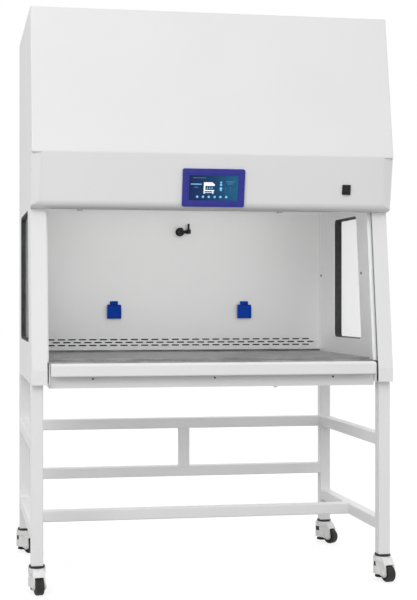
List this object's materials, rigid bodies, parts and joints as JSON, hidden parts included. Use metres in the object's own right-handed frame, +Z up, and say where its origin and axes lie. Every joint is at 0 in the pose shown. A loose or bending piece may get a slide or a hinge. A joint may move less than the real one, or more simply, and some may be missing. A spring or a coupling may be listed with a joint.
{
  "type": "biosafety cabinet",
  "caption": "Class II biosafety cabinet on a wheeled stand, with a sliding sash, sloped hood, recessed work tray, side windows and levelling casters.",
  "frame": {"origin": "on the floor, midway between the four caster stems", "axes": "+Z up, +Y to the back of the cabinet, +X to the right as the user sees the front"},
  "size_m": [1.4235, 0.8432, 2.18],
  "materials": {
    "white_paint": "fine-textured white powder coat",
    "grey_paint": "satin light grey powder coat",
    "stainless": "satin stainless sheet",
    "galvanised": "plain galvanised sheet",
    "caster_black": "black coated steel",
    "gasket_rubber": "matt black rubber",
    "window_glass": "clear toughened glass",
    "bezel_plastic": "satin indigo moulding",
    "screen_glass": null,
    "black_plastic": "black moulding",
    "aluminium_trim": "satin anodised",
    "filter_media": "pleated media in a frame",
    "motor_grey": "painted motor case",
    "impeller_steel": "bright sheet",
    "lamp_white": "opal tube and white tray",
    "uv_glass": "clear quartz tube",
    "socket_blue": "blue moulding",
    "valve_brass": "plain brass",
    "lever_red": "red dipped lever",
    "screw_steel": "bright zinc",
    "caster_diecast": "die-cast housing, cream grey",
    "caster_tread": "black nylon tyre",
    "foot_rubber": "black rubber pad on a steel screw",
    "dial_plastic": "black moulded dial"
  },
  "bodies": {
    "cabinet": {"stand_legs": "white_paint", "stand_rails": "white_paint", "caster_stems": "caster_black", "side_panel_left": "white_paint", "side_panel_right": "white_paint", "side_liners": "stainless", "window_gaskets": "gasket_rubber", "window_panes": "window_glass", "back_panel": "white_paint", "power_inlet": "black_plastic", "rear_wall": "stainless", "top_panel": "white_paint", "drain_pan": "stainless", "lower_front_panel": "grey_paint", "armrest": "white_paint", "work_surface": "stainless", "front_grille": "stainless", "hood_cover": "white_paint", "hood_end_caps": "white_paint", "display_bezel": "bezel_plastic", "display_screen": "screen_glass", "switch_frame": "black_plastic", "sash_guides": "aluminium_trim", "exhaust_filter": "filter_media", "exhaust_guard": "galvanised", "supply_filter": "filter_media", "plenum_box": "galvanised", "diffuser": "stainless", "blower_housing": "galvanised", "blower_motor": "motor_grey", "work_lamp": "lamp_white", "uv_lamp": "uv_glass", "socket_bodies": "socket_blue", "tap_body": "black_plastic", "drain_valve_body": "valve_brass", "fasteners": "screw_steel"},
    "sash": {"sash_glass": "window_glass", "sash_handle": "aluminium_trim"},
    "rocker": {"switch_rocker": "black_plastic"},
    "blower_wheel": {"blower_wheel": "impeller_steel"},
    "socket_cover_left": {"socket_cover_left": "socket_blue"},
    "socket_cover_right": {"socket_cover_right": "socket_blue"},
    "tap_handle": {"tap_handle": "black_plastic"},
    "drain_lever": {"drain_lever": "lever_red"},
    "caster_fork_fl": {"caster_fork_fl": "caster_diecast"},
    "caster_wheel_fl": {"caster_wheel_fl": "caster_tread"},
    "caster_foot_fl": {"caster_foot_fl": "foot_rubber"},
    "caster_dial_fl": {"caster_dial_fl": "dial_plastic"},
    "caster_fork_fr": {"caster_fork_fr": "caster_diecast"},
    "caster_wheel_fr": {"caster_wheel_fr": "caster_tread"},
    "caster_foot_fr": {"caster_foot_fr": "foot_rubber"},
    "caster_dial_fr": {"caster_dial_fr": "dial_plastic"},
    "caster_fork_rl": {"caster_fork_rl": "caster_diecast"},
    "caster_wheel_rl": {"caster_wheel_rl": "caster_tread"},
    "caster_foot_rl": {"caster_foot_rl": "foot_rubber"},
    "caster_dial_rl": {"caster_dial_rl": "dial_plastic"},
    "caster_fork_rr": {"caster_fork_rr": "caster_diecast"},
    "caster_wheel_rr": {"caster_wheel_rr": "caster_tread"},
    "caster_foot_rr": {"caster_foot_rr": "foot_rubber"},
    "caster_dial_rr": {"caster_dial_rr": "dial_plastic"}
  },
  "joints": [
    {"name": "sash_slide", "type": "slide", "parent": "cabinet", "child": "sash", "axis": [0, 0.1236, 0.9923], "range_m": [-0.573, 0]},
    {"name": "rocker_tilt", "type": "hinge", "parent": "cabinet", "child": "rocker", "pos_m": [0.51, -0.40936, 1.5064], "axis": [1, 0, 0], "range_deg": [0, 16]},
    {"name": "blower_spin", "type": "hinge", "parent": "cabinet", "child": "blower_wheel", "pos_m": [0, 0.02, 1.921], "axis": [1, 0, 0], "continuous": true},
    {"name": "socket_cover_left_lift", "type": "hinge", "parent": "cabinet", "child": "socket_cover_left", "pos_m": [-0.292, 0.281, 1.068], "axis": [-1, 0, 0], "range_deg": [0, 110]},
    {"name": "socket_cover_right_lift", "type": "hinge", "parent": "cabinet", "child": "socket_cover_right", "pos_m": [0.282, 0.281, 1.068], "axis": [-1, 0, 0], "range_deg": [0, 110]},
    {"name": "tap_turn", "type": "hinge", "parent": "cabinet", "child": "tap_handle", "pos_m": [-0.003, 0.2638, 1.38], "axis": [0, 1, 0], "range_deg": [0, 90]},
    {"name": "drain_turn", "type": "hinge", "parent": "cabinet", "child": "drain_lever", "pos_m": [0.4305, 0.294, 0.736], "axis": [0, 1, 0], "range_deg": [0, 90]},
    {"name": "caster_swivel_fl", "type": "hinge", "parent": "cabinet", "child": "caster_fork_fl", "pos_m": [-0.67, -0.3675, 0.09], "axis": [0, 0, 1], "continuous": true},
    {"name": "wheel_spin_fl", "type": "hinge", "parent": "caster_fork_fl", "child": "caster_wheel_fl", "pos_m": [-0.66471, -0.40513, 0.0315], "axis": [0.9903, 0.1392, 0], "continuous": true},
    {"name": "dial_turn_fl", "type": "hinge", "parent": "caster_fork_fl", "child": "caster_dial_fl", "pos_m": [-0.67195, -0.35364, 0.063], "axis": [0, 0, 1], "range_deg": [0, 1440]},
    {"name": "foot_drop_fl", "type": "slide", "parent": "caster_fork_fl", "child": "caster_foot_fl", "axis": [0, 0, -1], "range_m": [0, 0.012]},
    {"name": "caster_swivel_fr", "type": "hinge", "parent": "cabinet", "child": "caster_fork_fr", "pos_m": [0.67, -0.3675, 0.09], "axis": [0, 0, 1], "continuous": true},
    {"name": "wheel_spin_fr", "type": "hinge", "parent": "caster_fork_fr", "child": "caster_wheel_fr", "pos_m": [0.67919, -0.40437, 0.0315], "axis": [0.9703, 0.2419, 0], "continuous": true},
    {"name": "dial_turn_fr", "type": "hinge", "parent": "caster_fork_fr", "child": "caster_dial_fr", "pos_m": [0.66661, -0.35392, 0.063], "axis": [0, 0, 1], "range_deg": [0, 1440]},
    {"name": "foot_drop_fr", "type": "slide", "parent": "caster_fork_fr", "child": "caster_foot_fr", "axis": [0, 0, -1], "range_m": [0, 0.012]},
    {"name": "caster_swivel_rl", "type": "hinge", "parent": "cabinet", "child": "caster_fork_rl", "pos_m": [-0.67, 0.3675, 0.09], "axis": [0, 0, 1], "continuous": true},
    {"name": "wheel_spin_rl", "type": "hinge", "parent": "caster_fork_rl", "child": "caster_wheel_rl", "pos_m": [-0.64875, 0.336, 0.0315], "axis": [0.829, 0.5592, 0], "continuous": true},
    {"name": "dial_turn_rl", "type": "hinge", "parent": "caster_fork_rl", "child": "caster_dial_rl", "pos_m": [-0.67783, 0.37911, 0.063], "axis": [0, 0, 1], "range_deg": [0, 1440]},
    {"name": "foot_drop_rl", "type": "slide", "parent": "caster_fork_rl", "child": "caster_foot_rl", "axis": [0, 0, -1], "range_m": [0, 0.012]},
    {"name": "caster_swivel_rr", "type": "hinge", "parent": "cabinet", "child": "caster_fork_rr", "pos_m": [0.67, 0.3675, 0.09], "axis": [0, 0, 1], "continuous": true},
    {"name": "wheel_spin_rr", "type": "hinge", "parent": "caster_fork_rr", "child": "caster_wheel_rr", "pos_m": [0.69014, 0.33527, 0.0315], "axis": [0.848, 0.5299, 0], "continuous": true},
    {"name": "dial_turn_rr", "type": "hinge", "parent": "caster_fork_rr", "child": "caster_dial_rr", "pos_m": [0.66258, 0.37937, 0.063], "axis": [0, 0, 1], "range_deg": [0, 1440]},
    {"name": "foot_drop_rr", "type": "slide", "parent": "caster_fork_rr", "child": "caster_foot_rr", "axis": [0, 0, -1], "range_m": [0, 0.012]}
  ],
  "couplings": [
    {"joint": "foot_drop_fl", "follows": "dial_turn_fl", "m_per_rad": 0.00047746},
    {"joint": "foot_drop_fr", "follows": "dial_turn_fr", "m_per_rad": 0.00047746},
    {"joint": "foot_drop_rl", "follows": "dial_turn_rl", "m_per_rad": 0.00047746},
    {"joint": "foot_drop_rr", "follows": "dial_turn_rr", "m_per_rad": 0.00047746}
  ]
}
